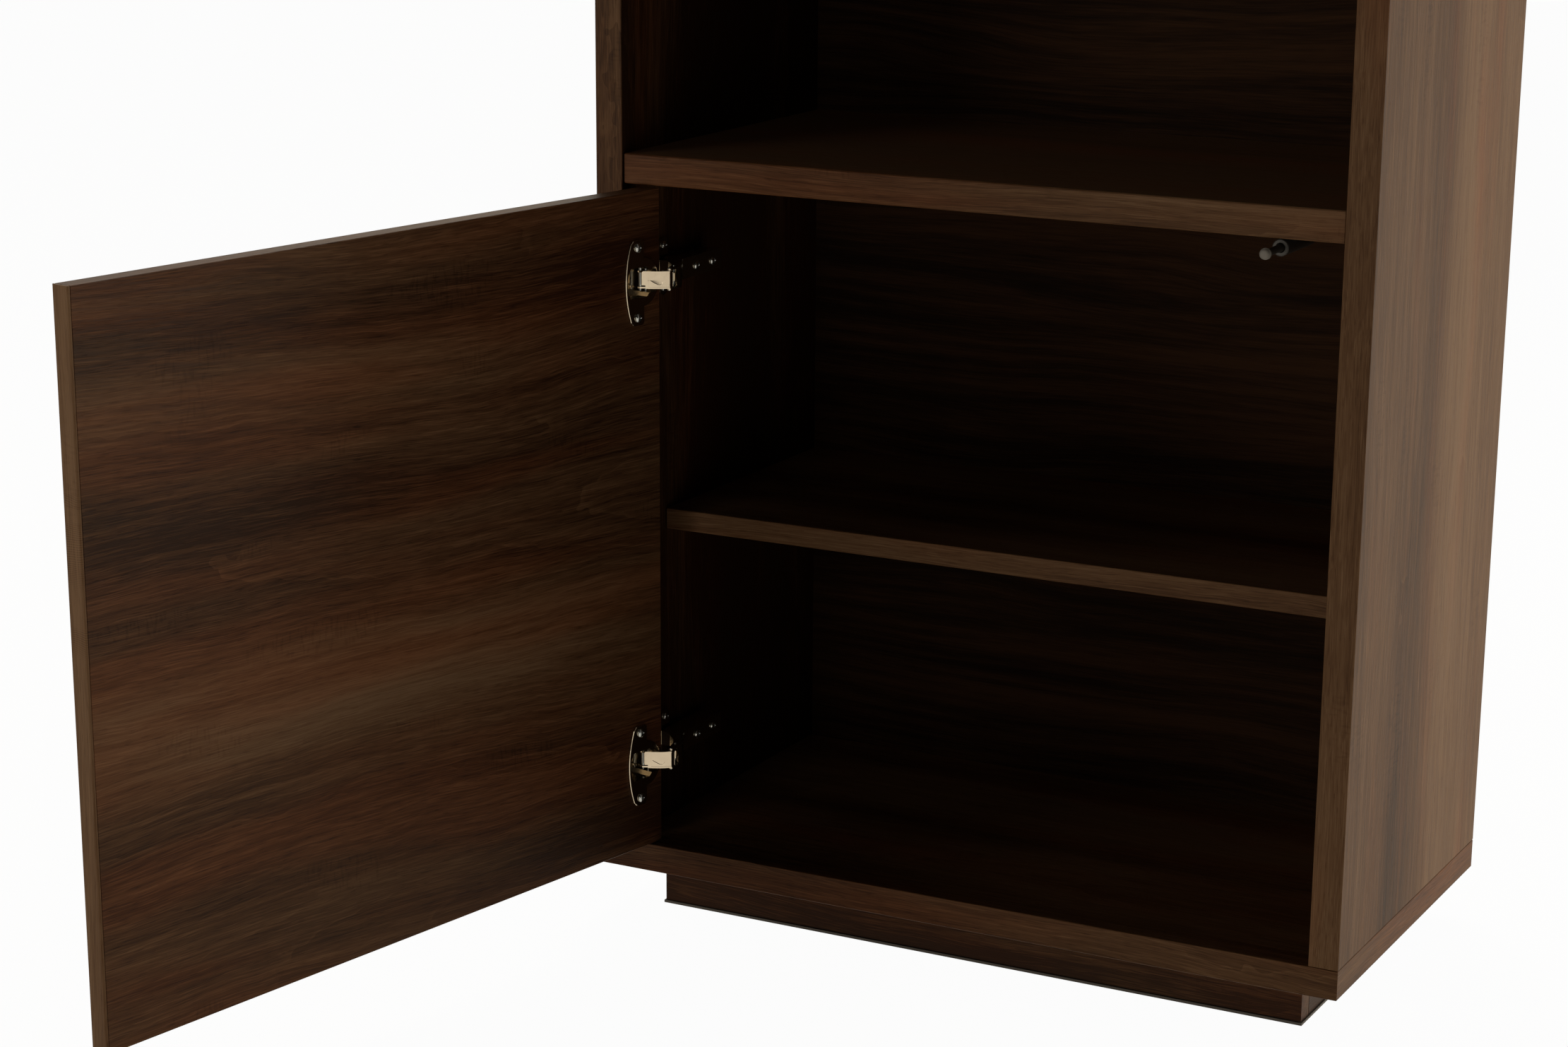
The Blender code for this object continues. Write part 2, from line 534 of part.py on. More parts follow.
def outer_link(name, height):
    """The wide arched link: two cheeks joined by a web that bows over the cup's rim.

    Its frame starts at the arm pin and runs to the cup pin, with the web at +Y. The web is sunk
    between the cheeks' rims, its front corners are cut off, and it has a notch at the cup pin
    and a drop-shaped dimple.
    """
    reach = LINK_LENGTH
    web_line = smooth([
        (reach - 0.0006, 0.0033), (0.0175, 0.0039), (0.0130, 0.0045), (0.0070, 0.0048),
        (0.0025, 0.0042), (-0.0008, 0.0031), (-OUTER_WEB_FRONT, 0.0005),
    ], 4)
    belly = smooth([
        (0.0006, -OUTER_EYE_RADIUS), (0.0034, -0.0017), (0.0060, 0.0004), (0.0082, 0.0020),
        (0.0099, 0.0023), (0.0120, 0.0016), (0.0150, 0.00095), (reach - 0.0021, 0.00095),
    ], 3)
    outline = arc((0, 0), OUTER_EYE_RADIUS, 190, 270, 5) + belly
    outline += arc((reach, 0), EYE_RADIUS, 165, 420, 14) + web_line
    arched = prism(outline, -OUTER_LINK_HALF, OUTER_LINK_HALF)
    link = piece(f"{name}_outer_link", arched, NICKEL, OUTER_FRAME, (0, 0, height))
    under_web = offset(web_line, OUTER_LINK_WEB)
    far = ABOVE
    void = [(under_web[0][0], far)] + under_web + [(-far, under_web[-1][1])]
    void += [(-far, -far), (reach + far, -far), (reach + far, far)]
    hollow = OUTER_LINK_HALF - OUTER_LINK_CHEEK
    combine(link, prism(void, -hollow, hollow))
    for x in (0, reach):
        combine(link, rod(PIN_HOLE, -far, far, 12, Matrix.Translation((x, 0, 0))))
    sunk = [(x, y) for x, y in offset(web_line, OUTER_WEB_SINK) if x < reach - OUTER_RIM_END]
    above = [(sunk[0][0], far)] + sunk + [(-far, sunk[-1][1]), (-far, far)]
    combine(link, prism(above, -hollow, hollow))
    from_top = Matrix.Rotation(radians(-90), 4, "X")
    for side in (1, -1):
        corner = (-OUTER_WEB_FRONT, side * OUTER_LINK_HALF)
        cut = [shifted(corner, (OUTER_CHAMFER * 2, side * OUTER_CHAMFER))]
        cut += [shifted(corner, (-OUTER_CHAMFER, -side * OUTER_CHAMFER * 2))]
        cut += [shifted(corner, (-OUTER_CHAMFER * 2, side * OUTER_CHAMFER * 2))]
        combine(link, prism(cut, -far, far, from_top))
    inset, tall = OUTER_NOTCH
    notch = [(reach - inset, OUTER_LINK_HALF - tall), (reach + far, OUTER_LINK_HALF - tall)]
    notch += [(reach + far, far), (reach - inset, far)]
    combine(link, prism(notch, EYE_RADIUS, far, from_top))
    steepest = degrees(acos(DIMPLE_RADIUS / DIMPLE_TAIL))
    drop = arc((0, 0), DIMPLE_RADIUS, steepest, 360 - steepest, 10) + [(DIMPLE_TAIL, 0)]
    tilted = Matrix.Translation((*DIMPLE_PLACE, 0)) @ Matrix.Rotation(radians(-2.1), 4, "Z")
    combine(link, prism(drop, 0, DIMPLE_RISE, tilted @ from_top, DIMPLE_FLARE))


def inner_link(name, height):
    """The narrow swan-neck link, with an eye on the cup pin and a slotted eye on the arm pin.

    Its frame starts at the cup pin and runs to the arm pin.
    """
    reach = INNER_LINK_LENGTH
    neck = smooth([
        (0, 0), (0.0030, -0.0010), (0.0046, -0.0036), (0.0057, -0.0063), (0.0078, -0.0072),
        (0.0110, -0.0056), (0.0150, -0.0034), (0.0200, -0.0012), (reach - 0.0005, -0.0003),
    ], 3)
    half = INNER_LINK_STEEL / 2
    outline = offset(neck, half) + offset(neck, -half)[::-1]
    strip = prism(outline, -INNER_LINK_HALF, INNER_LINK_HALF)
    link = piece(f"{name}_inner_link", strip, NICKEL, INNER_FRAME, (0, 0, height))
    slot = [(reach, 0)] + [shifted((reach, 0), slip) for slip in INNER_LINK_SLIPS]
    tall = INNER_LINK_HALF + PIN_RADIUS
    combine(link, prism(arc((0, 0), EYE_RADIUS, 0, 345, 23), -INNER_LINK_HALF, INNER_LINK_HALF), "UNION")
    combine(link, prism(rounded(slot, OUTER_EYE_RADIUS), -INNER_LINK_HALF, INNER_LINK_HALF), "UNION")
    combine(link, rod(PIN_HOLE, -tall, tall, 12))
    combine(link, prism(rounded(slot, PIN_HOLE), -tall, tall))


def hinge_arm(name, height, side):
    """The cranked arm on its mounting plate, with its rivets and screws, on the side board."""
    place = (INSIDE_LEFT, FRONT, height)
    nose = between((INSIDE_LEFT, FRONT), ARM_AXIS)
    elbow = between((INSIDE_LEFT, FRONT), ARM_INNER_AXIS)
    edge = nose[0] + EYE_RADIUS - 0.0001
    lip = DOOR_THICKNESS + FLANGE_FACE + FIT
    web_line = smooth([
        (edge, lip), (edge - 0.0003, 0.0220), (0.0335, 0.0300), (0.0270, 0.0410),
        (0.0225, 0.0500), (ARM_TOP, 0.0590), (ARM_TOP, ARM_BACK),
    ], 3)
    ear = (elbow[0] - EYE_RADIUS, elbow[1])
    cheek = smooth([(ARM_FOOT, 0.0530), (0.0120, 0.0440), (0.0240, 0.0310), ear], 3)
    outline = arc(nose, EYE_RADIUS - 0.0001, 180, 360, 10) + web_line + [(ARM_FOOT, ARM_BACK)] + cheek
    arm = piece(f"{name}_hinge_arm", prism(outline, -ARM_HALF, ARM_HALF), NICKEL, None, place)
    under_web = offset(web_line, ARM_STEEL)
    void = [(nose[0] + ABOVE, lip), (nose[0] + ABOVE, -ABOVE), (-ABOVE, -ABOVE), (-ABOVE, ARM_BACK + ABOVE)]
    void += [(under_web[-1][0], ARM_BACK + ABOVE)] + under_web[::-1]
    combine(arm, prism(void, -ARM_HALF_INSIDE, ARM_HALF_INSIDE))
    head = ARM_HALF + FIT
    for pin_name, (x, y) in (("outer", nose), ("inner", elbow)):
        stand = Matrix.Translation((x, y, 0))
        end = head + PIN_HEAD
        profile = [(0, -end), (PIN_HEAD_RADIUS, -end), (PIN_HEAD_RADIUS, -head), (PIN_RADIUS, -head)]
        profile += [(radius, -level) for radius, level in profile[::-1]]
        piece(f"{name}_arm_pin_{pin_name}", turned(profile, 12, stand), SCREW_STEEL, None, place)
        combine(arm, rod(PIN_HOLE, -ABOVE, ABOVE, 12, stand))
    rail_top = ARM_TOP - ARM_STEEL - 2 * FIT
    plate = mounting_plate(name, place, rail_top)
    for screw_name, depth in (("adjust", ADJUST_SCREW_DEPTH), ("clamp", CLAMP_SCREW_DEPTH)):
        seat = (ARM_TOP + FIT, depth, 0)
        screw(f"{name}_{screw_name}_screw", (-1, 0, 0), seat, None, place)
        bore = facing((-1, 0, 0), seat)
        combine(arm, rod(SCREW_HOLE, -ABOVE, ABOVE, 12, bore))
        combine(plate, rod(SCREW_HOLE, -ABOVE, SCREW_LENGTH + FIT, 12, bore))
    for end_name, end in (("top", 1), ("bottom", -1)):
        seat = (PLATE_THICKNESS + 2 * FIT, PLATE_SCREW_DEPTH, end * PLATE_SCREW_SPACING / 2)
        screw(f"{name}_plate_screw_{end_name}", (-1, 0, 0), seat, None, place)
        bore = facing((-1, 0, 0), seat)
        combine(plate, rod(SCREW_HOLE, -ABOVE, ABOVE, 12, bore))
        combine(side, rod(SCREW_HOLE, -ABOVE, SCREW_LENGTH + FIT, 12, Matrix.Translation(place) @ bore))


def mounting_plate(name, place, rail_top):
    """A winged plate with the raised rail that the arm sits over."""
    wing = PLATE_SCREW_SPACING / 2
    near, far = PLATE_SCREW_DEPTH - PLATE_WING_RADIUS, PLATE_SCREW_DEPTH + PLATE_WING_RADIUS
    outline = [(PLATE_FRONT, -PLATE_HALF), (near, -PLATE_HALF)]
    outline += arc((PLATE_SCREW_DEPTH, -wing), PLATE_WING_RADIUS, 180, 360, 12)
    outline += [(far, -PLATE_HALF), (ARM_BACK, -PLATE_HALF), (ARM_BACK, PLATE_HALF), (far, PLATE_HALF)]
    outline += arc((PLATE_SCREW_DEPTH, wing), PLATE_WING_RADIUS, 0, 180, 12)
    outline += [(near, PLATE_HALF), (PLATE_FRONT, PLATE_HALF)]
    base = prism(outline, FIT, FIT + PLATE_THICKNESS, SIDEWAYS)
    plate = piece(f"{name}_mounting_plate", base, NICKEL, None, place)
    foot = FIT + PLATE_THICKNESS / 2
    slope = rail_top * 0.5
    rail = [(foot, PLATE_FRONT + FIT), (slope, PLATE_FRONT + FIT), (rail_top, PLATE_FRONT + slope)]
    rail += [(rail_top, ARM_BACK - FIT), (foot, ARM_BACK - FIT)]
    combine(plate, prism(rail, -PLATE_RAIL_HALF, PLATE_RAIL_HALF), "UNION")
    return plate


def push_latch(shelf):
    """A spring plunger in a round housing, screwed up under the fixed shelf."""
    place = (RIGHT - LATCH_FROM_RIGHT, FRONT, SHELF_UNDER - LATCH_DROP)
    inward = facing((0, 1, 0), (0, 0, 0))
    back = LATCH_FRONT + LATCH_LENGTH
    lip = LATCH_RADIUS * 0.1
    tube = [(0, back - LATCH_END), (LATCH_BORE, back - LATCH_END), (LATCH_BORE, LATCH_FRONT + lip)]
    tube += [(LATCH_BORE + lip, LATCH_FRONT), (LATCH_RADIUS - lip, LATCH_FRONT)]
    tube += [(LATCH_RADIUS, LATCH_FRONT + lip), (LATCH_RADIUS, back), (0, back)]
    housing = piece("latch_housing", turned(tube, 24, inward), LATCH_GREY, None, place)
    middle = (LATCH_FRONT + back) / 2
    front, rear = middle - LATCH_BASE_LENGTH / 2, middle + LATCH_BASE_LENGTH / 2
    base_top = LATCH_DROP - FIT
    base_under = base_top - LATCH_BASE_THICKNESS
    saddle = LATCH_RADIUS * 0.75
    inset = LATCH_RADIUS * 0.1
    low = (-saddle, front + inset, LATCH_BORE + inset)
    combine(housing, slab(low, (saddle, rear - inset, base_top - inset)), "UNION")
    low = (-LATCH_BASE_HALF, front, base_under)
    combine(housing, slab(low, (LATCH_BASE_HALF, rear, base_top)), "UNION")
    for side_name, side in (("left", -1), ("right", 1)):
        seat = (side * LATCH_SCREW_OFFSET, middle, base_under - FIT)
        screw(f"latch_screw_{side_name}", (0, 0, 1), seat, None, place)
        bore = facing((0, 0, 1), seat)
        combine(housing, rod(SCREW_HOLE, -ABOVE, ABOVE, 12, bore))
        combine(shelf, rod(SCREW_HOLE, -ABOVE, SCREW_LENGTH + FIT, 12, Matrix.Translation(place) @ bore))
    tip_back = TIP_LENGTH - PLUNGER_OUT
    socket = tip_back - TIP_SOCKET_DEPTH
    stub = TIP_SOCKET - FIT
    shaft = [(0, socket + FIT), (stub, socket + FIT), (stub, tip_back + FIT)]
    shaft += [(PLUNGER_RADIUS, tip_back + FIT), (PLUNGER_RADIUS, PLUNGER_END), (0, PLUNGER_END)]
    piece("plunger", turned(shaft, 16, inward), LATCH_GREY, None, place)
    rounding = TIP_RADIUS * 0.4
    shoulder = rounding - PLUNGER_OUT
    nose = [(x, shoulder + y) for x, y in arc((TIP_RADIUS - rounding, 0), rounding, -90, 0, 4)]
    tip = [(0, -PLUNGER_OUT)] + nose + [(TIP_RADIUS, tip_back), (TIP_SOCKET, tip_back)]
    tip += [(TIP_SOCKET, socket), (0, socket)]
    piece("plunger_tip", turned(tip, 20, inward), TIP_GREY, None, place)


LEFT_SIDE, RIGHT_SIDE, FIXED_SHELF = casing()
shelf_pins(LEFT_SIDE, RIGHT_SIDE)
plinth()
DOOR = door()
for hinge_name, hinge_height in HINGE_HEIGHTS.items():
    hinge_cup(hinge_name, hinge_height, DOOR)
    outer_link(hinge_name, hinge_height)
    inner_link(hinge_name, hinge_height)
    hinge_arm(hinge_name, hinge_height, LEFT_SIDE)
push_latch(FIXED_SHELF)
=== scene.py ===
"""Walnut floor cabinet with its inset door standing open, in a plain white studio."""
import bpy
import bmesh
import json
from math import cos, pi, radians, sin
from mathutils import Matrix, Vector

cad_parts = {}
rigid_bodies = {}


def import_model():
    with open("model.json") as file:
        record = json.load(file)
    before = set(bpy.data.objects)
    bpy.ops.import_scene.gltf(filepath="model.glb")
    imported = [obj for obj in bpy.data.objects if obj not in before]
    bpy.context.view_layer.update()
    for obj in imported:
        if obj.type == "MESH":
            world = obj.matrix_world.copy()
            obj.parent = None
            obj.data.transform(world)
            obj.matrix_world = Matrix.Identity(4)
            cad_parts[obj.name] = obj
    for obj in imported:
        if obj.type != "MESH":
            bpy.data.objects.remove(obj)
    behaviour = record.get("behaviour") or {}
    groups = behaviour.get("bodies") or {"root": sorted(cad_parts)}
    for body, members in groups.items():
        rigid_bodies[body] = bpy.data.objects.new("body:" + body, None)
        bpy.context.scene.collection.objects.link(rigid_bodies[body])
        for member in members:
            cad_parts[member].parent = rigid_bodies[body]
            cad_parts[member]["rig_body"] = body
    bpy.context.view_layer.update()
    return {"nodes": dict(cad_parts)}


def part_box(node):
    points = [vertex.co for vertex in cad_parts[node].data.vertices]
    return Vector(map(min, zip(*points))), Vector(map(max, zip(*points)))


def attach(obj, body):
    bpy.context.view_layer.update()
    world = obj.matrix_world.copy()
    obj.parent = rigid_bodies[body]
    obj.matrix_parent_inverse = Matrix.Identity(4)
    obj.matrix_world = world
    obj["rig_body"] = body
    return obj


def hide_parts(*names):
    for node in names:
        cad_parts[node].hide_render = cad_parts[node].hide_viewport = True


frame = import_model()

# Camera, from the photograph's perspective
CAMERA_PLACE = (0.98718, -2.16731, 0.92630)
CAMERA_YAW = radians(27.703)
CAMERA_TILT = radians(15.543)
CAMERA_ROLL = radians(0.415)
CAMERA_LENS = 77.12
CAMERA_SENSOR = 36.0
CAMERA_SHIFT = (-0.0095, 0.0604)

# The open door's turn from its closed place, and the outer links' front rivet and heading
DOOR_TURN = radians(100.77)
ARM_RIVET = (-0.2431, -0.03421)
LINK_HEADING = radians(-148.93)

# The outer link's web along the link, the CAD dimple's bottom in it, and the bowl pressed in its place
WEB_LEAN = 0.0525
DIMPLE_BOTTOM = 0.00436
DIMPLE_BOTTOM_LEAN = 0.0158
DIMPLE_REACH = (0.0040, 0.0140)
DIMPLE_HALF_WIDTH = 0.0024
DIMPLE_TOLERANCE = 0.00004
LEVEL_TILT = 0.002
SLOPE_TILT = 0.02
BOWL_DEPTH = 0.00007
BOWL_STEP = 0.00006
BOWL_RINGS = (0.93, 0.88, 0.84, 0.78, 0.69, 0.50)

# Turned and cut pieces
SHARP_EDGE = radians(35)
SCREW_HEAD_RADIUS = 0.0034
SCREW_HEAD_HEIGHT = 0.0018
SCREW_SHANK_RADIUS = 0.0018
PIN_RADIUS = 0.0010
PIN_HEAD_RADIUS = 0.0015
PIN_HEAD_HEIGHT = 0.0004
TIP_SOCKET_RADIUS = 0.0019
TIP_SOCKET_DEPTH = 0.0030

# Places on the casing
SIDE_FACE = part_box("right_side")[1][0]
FRONT_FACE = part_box("right_side")[0][1]
INSIDE_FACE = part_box("left_side")[1][0]
SHELF_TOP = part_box("fixed_shelf")[1][2]
FOIL_EDGE = FRONT_FACE + 0.0012
BOARD_END = SIDE_FACE - 0.0002

# The printed cross lines on the door's end
COMB_PITCH = 0.0014
COMB_LOW = (0.325, 0.345)
COMB_HIGH = (0.438, 0.446)

# Light
WARM_WHITE = (1.0, 0.90, 0.76)
WORLD_EDGE = (-0.25, 0.35)
WORLD_LIGHT = 0.30
WORLD_MIRRORED = 1.0
WORLD_FRONT = 0.02
FLOOR_SEEN = 0.97
FLOOR_MIRRORED = 0.90
FLOOR_BOUNCE = 0.30
FLOOR_HALF_SIZE = 12.0
FLOOR_DROP = 0.0005

# Colours, as they look under plain light
WALNUT_DARK = (0.026, 0.0110, 0.0050)
WALNUT_BROWN = (0.070, 0.0330, 0.0150)
WALNUT_MID = (0.112, 0.0580, 0.0280)
WALNUT_PALE = (0.170, 0.0980, 0.0530)
WALNUT_RED_CAST = (1.06, 0.84, 0.74)
WALNUT_TAN_CAST = (0.94, 0.96, 0.97)
# The back panel's foil colours, kept dark as painted shade for the inside of the casing
FOIL_SHADE_DARK = (0.0090, 0.0048, 0.0028)
FOIL_SHADE_BROWN = (0.0550, 0.0260, 0.0125)
FLOOR_WHITE = (0.80, 0.79, 0.77)
PLAIN_WHITE = (1.0, 1.0, 1.0)


class Value:
    """A socket that takes part in arithmetic, each step of which adds its Math node."""

    def __init__(self, finish, socket):
        self.finish = finish
        self.socket = socket

    def __add__(self, other):
        return self.finish.math("ADD", self, other)

    def __radd__(self, other):
        return self.finish.math("ADD", other, self)

    def __sub__(self, other):
        return self.finish.math("SUBTRACT", self, other)

    def __rsub__(self, other):
        return self.finish.math("SUBTRACT", other, self)

    def __mul__(self, other):
        return self.finish.math("MULTIPLY", self, other)

    def __rmul__(self, other):
        return self.finish.math("MULTIPLY", other, self)


class Finish:
    """A node tree, of a material or the world, and the one way to add a node to it."""

    def __init__(self, owner):
        owner.use_nodes = True
        self.owner = owner
        self.tree = owner.node_tree
        self.tree.nodes.clear()

    def node(self, kind, settings=None, sockets=None, output=0):
        made = self.tree.nodes.new("ShaderNode" + kind)
        for key, value in (settings or {}).items():
            if key == "stops":
                set_stops(made.color_ramp, value)
            else:
                setattr(made, key, value)
        for key, value in (sockets or {}).items():
            if isinstance(value, Value):
                self.tree.links.new(value.socket, made.inputs[key])
            else:
                made.inputs[key].default_value = value
        return Value(self, made.outputs[output]) if made.outputs else made

    def math(self, operation, *values):
        return self.node("Math", {"operation": operation}, dict(enumerate(values)))

    def mix(self, share, first, second, blend="MIX"):
        ends = [value if isinstance(value, Value) else (*value, 1.0) for value in (first, second)]
        settings = {"data_type": "RGBA", "blend_type": blend}
        return self.node("Mix", settings, {0: share, 6: ends[0], 7: ends[1]}, 2)

    def between(self, value, low, high):
        """0 below low and 1 above high, with a soft step."""
        settings = {"interpolation_type": "SMOOTHSTEP"}
        return self.node("MapRange", settings, {"Value": value, "From Min": low, "From Max": high})


def set_stops(ramp, stops):
    """Gives a colour ramp its (place, colour) stops."""
    while len(ramp.elements) < len(stops):
        ramp.elements.new(0.5)
    for element, (place, colour) in zip(ramp.elements, stops):
        element.position = place
        element.color = (*colour, 1.0)


def material(name):
    return Finish(bpy.data.materials.new(name))


def surface(finish, sockets):
    """Ends a material in a Principled shader."""
    shader = finish.node("BsdfPrincipled", {}, sockets)
    finish.node("OutputMaterial", {}, {"Surface": shader})
    return finish.owner


def spot(finish, turn=0.0, shift=(0.0, 0.0, 0.0)):
    """The place on the object as x, y and z, turned and then shifted."""
    place = finish.node("TexCoord", {}, {}, "Object")
    sockets = {"Vector": place, "Rotation": (0, 0, turn), "Location": shift}
    turned = finish.node("Mapping", {"vector_type": "POINT"}, sockets)
    return [finish.node("SeparateXYZ", {}, {0: turned}, axis) for axis in "XYZ"]


def grain_axes(finish, along, turn=0.0, shift=(0.0, 0.0, 0.0), end=0.0):
    """The place along the grain and the two across it. Past end, a board's end foil runs front to back."""
    x, y, z = spot(finish, turn, shift)
    if end:
        past = finish.math("GREATER_THAN", finish.math("ABSOLUTE", spot(finish)[0]), end)
        return y * past + x * (1.0 - past), z, x * past + y * (1.0 - past)
    return {"X": (x, z, y), "Y": (y, z, x), "Z": (z, y, x)}[along]


def streaks(finish, axes, length, width, detail=1.0, layer=0.0):
    """Noise about 0, drawn out along the grain, with streaks of this length and width in metres."""
    along, across, deep = axes
    sockets = {0: along * (1 / length) + layer, 1: across * (1 / width), 2: deep * (1 / width) + layer}
    point = finish.node("CombineXYZ", {}, sockets)
    settings = {"Vector": point, "Scale": 1.0, "Detail": detail, "Roughness": 0.55}
    return finish.node("TexNoise", {}, settings) - 0.5


def walnut(
        name, along, turn=0.0, shift=(0.0, 0.0, 0.0), end=0.0,
        tone=0.0, red=0.0, slope=0.0, bands=2.3, detail=None):
    """Printed walnut: slow bands, wavy growth lines, fibres, pores, flecks and a red cast in places.

    tone lightens the print, red widens its red cast, slope tilts its lines, bands is the slow bands'
    contrast, and detail adds to the print's value by place, on some boards with painted light and shade.
    """
    finish = material(name)
    axes = grain_axes(finish, along, turn, shift, end)
    bend = streaks(finish, axes, 0.55, 0.16) * 0.045 + streaks(finish, axes, 0.10, 0.05, 2.0, 3.1) * 0.007
    axes = (axes[0], axes[1] + axes[0] * slope + bend, axes[2])
    band = streaks(finish, axes, 1.60, 0.110, 2.5)
    wave = streaks(finish, axes, 0.022, 0.012, 1.0, 8.8) * 0.35
    growth = finish.math("FRACT", streaks(finish, axes, 0.95, 0.130, 0.0, 5.7) * 13.0 + wave)
    ringed = finish.between(streaks(finish, axes, 0.30, 0.080, 1.0, 12.2), -0.04, 0.12)
    fresh = (1.0 - finish.between(growth, 0.01, 0.08)) * ringed
    late = finish.between(growth, 0.50, 1.0) * ringed
    grain = streaks(finish, axes, 0.12, 0.0042, 2.0, 1.3)
    fibre = streaks(finish, axes, 0.034, 0.0010, 1.0, 2.2)
    pore = finish.between(streaks(finish, axes, 0.011, 0.0007, 0.0, 7.9), 0.10, 0.22)
    fleck = finish.between(streaks(finish, axes, 0.028, 0.0007, 0.0, 9.4), 0.07, 0.20)
    patch = finish.between(streaks(finish, axes, 0.12, 0.040, 0.0, 10.6), 0.18, 0.26)
    cross = finish.between(streaks(finish, axes, 0.0024, 0.0110, 0.0, 4.4), 0.03, 0.18) * patch
    value = band * bands + grain * 0.60 + fibre * 0.48 - cross * 0.08 + (0.5 + tone)
    value = value + fresh * 0.10 - late * 0.08 - pore * 0.12 + fleck * 0.16
    if detail:
        value = value + detail(finish)
    stops = [(0.08, WALNUT_DARK), (0.36, WALNUT_BROWN), (0.60, WALNUT_MID), (0.95, WALNUT_PALE)]
    colour = finish.node("ValToRGB", {"stops": stops}, {0: value})
    cast = finish.between(streaks(finish, axes, 0.45, 0.055, 2.0, 6.6) + red, -0.08, 0.20)
    colour = finish.mix(1.0, colour, finish.mix(cast, WALNUT_TAN_CAST, WALNUT_RED_CAST), "MULTIPLY")
    height = fibre * 0.5 - pore + fleck * 0.3
    bump = finish.node("Bump", {}, {"Strength": 0.22, "Distance": 0.0003, "Height": height})
    roughness = fibre * 0.20 + 0.42
    return surface(finish, {"Base Color": colour, "Roughness": roughness, "Normal": bump, "IOR": 1.15})


def foil_line(finish):
    """The thin dark line where the front edge's foil meets a side's outer face."""
    away = finish.math("ABSOLUTE", spot(finish)[1] - FOIL_EDGE)
    return finish.between(away, 0.0002, 0.0006) * 0.30 - 0.30


def left_print_with_painted_inside_shade(finish):
    """The left side's print and foil line, with painted shade darkening its face inside the casing."""
    x, y = spot(finish)[:2]
    # Painted shade: the face inside the casing, behind the front edge, is darkened as if shadowed by the casing.
    inside = finish.between(x, INSIDE_FACE - 0.0006, INSIDE_FACE - 0.0002)
    behind = finish.between(y, FRONT_FACE + 0.0008, FRONT_FACE + 0.0014)
    return foil_line(finish) - inside * behind * 0.45


def shelf_top_painted_light(finish):
    """Painted light on the fixed shelf: its top face, behind the front arris, is made paler."""
    y, z = spot(finish)[1:]
    # Painted light: the shelf's top face is made paler, as if lit from the front.
    top = finish.between(z, SHELF_TOP - 0.0006, SHELF_TOP - 0.0002)
    return top * finish.between(y, FRONT_FACE + 0.0030, FRONT_FACE + 0.0036) * 0.70


def side_print_with_painted_back_light(finish):
    """The right side's print and its paler front edge, with painted light brightening the face towards the back.
    """
    y = spot(finish)[1]
    edge = 1.0 - finish.between(y, FRONT_FACE + 0.0008, FRONT_FACE + 0.0012)
    # Painted light: the face grows paler towards the back, as if more light fell there.
    paler = finish.between(y, FRONT_FACE + 0.030, FRONT_FACE + 0.320) * 0.26
    return foil_line(finish) + paler + edge * 0.18 - 0.26


def door_print_with_painted_hinge_shade(finish):
    """The door's print, paler in a band across its middle, with painted shade darkening it towards the hinges.
    """
    y, z = spot(finish)[1:]
    middle = 1.0 - finish.between(finish.math("ABSOLUTE", z - 0.32), 0.03, 0.11)
    # Painted shade: the door darkens towards the hinge side, where the casing shades it.
    return middle * 0.13 - finish.between(y, -0.32, -0.06) * 0.13


def combed(finish):
    """Fine dark lines printed across the door's end, in groups."""
    x, y, z = spot(finish)
    sway = streaks(finish, (x, z, y), 0.030, 0.040, 1.0) * 0.010
    line = finish.math("PINGPONG", (z + sway) * (1 / COMB_PITCH), 0.5)
    group = finish.between(streaks(finish, (z, x, y), 0.022, 0.5, 1.0, 2.7), -0.12, 0.02)
    stretch = finish.between(z, *COMB_LOW) * (1.0 - finish.between(z, *COMB_HIGH))
    return (1.0 - finish.between(line, 0.05, 0.32)) * group * stretch * -0.26


def back_foil_with_painted_shade(name):
    """The back panel's printed foil, with faint grain from side to side, kept dark as painted shade for the
    inside of the casing.
    """
    finish = material(name)
    axes = grain_axes(finish, "X")
    axes = (axes[0], axes[1] + streaks(finish, axes, 0.30, 0.10) * 0.04, axes[2])
    grain = streaks(finish, axes, 0.20, 0.0060, 3.0)
    fibre = streaks(finish, axes, 0.030, 0.0010, 1.0, 2.2)
    value = streaks(finish, axes, 0.9, 0.045, 1.0, 5.1) + grain * 0.8 + fibre * 0.4 + 0.42
    # Painted shade: both foil colours are kept dark to stand for the shade inside the casing.
    colour = finish.mix(finish.between(value, 0.1, 0.9), FOIL_SHADE_DARK, FOIL_SHADE_BROWN)
    bump = finish.node("Bump", {}, {"Strength": 0.2, "Distance": 0.0002, "Height": fibre})
    roughness = grain * 0.2 + 0.68
    return surface(finish, {"Base Color": colour, "Roughness": roughness, "Normal": bump, "IOR": 1.12})


def plated(name, colour, roughness):
    """Nickel-plated steel with faint rolling marks and a few cloudy patches."""
    finish = material(name)
    axes = grain_axes(finish, "Z")
    marks = streaks(finish, axes, 0.004, 0.0003, 2.0)
    cloud = streaks(finish, axes, 0.012, 0.012, 3.0)
    bump = finish.node("Bump", {}, {"Strength": 0.08, "Distance": 0.0001, "Height": marks})
    tint = finish.mix(finish.between(cloud, -0.1, 0.25) * 0.35, colour, [part * 0.82 for part in colour])
    sockets = {"Base Color": tint, "Metallic": 1.0, "Roughness": cloud * 0.18 + marks * 0.06 + roughness}
    return surface(finish, sockets | {"Normal": bump})


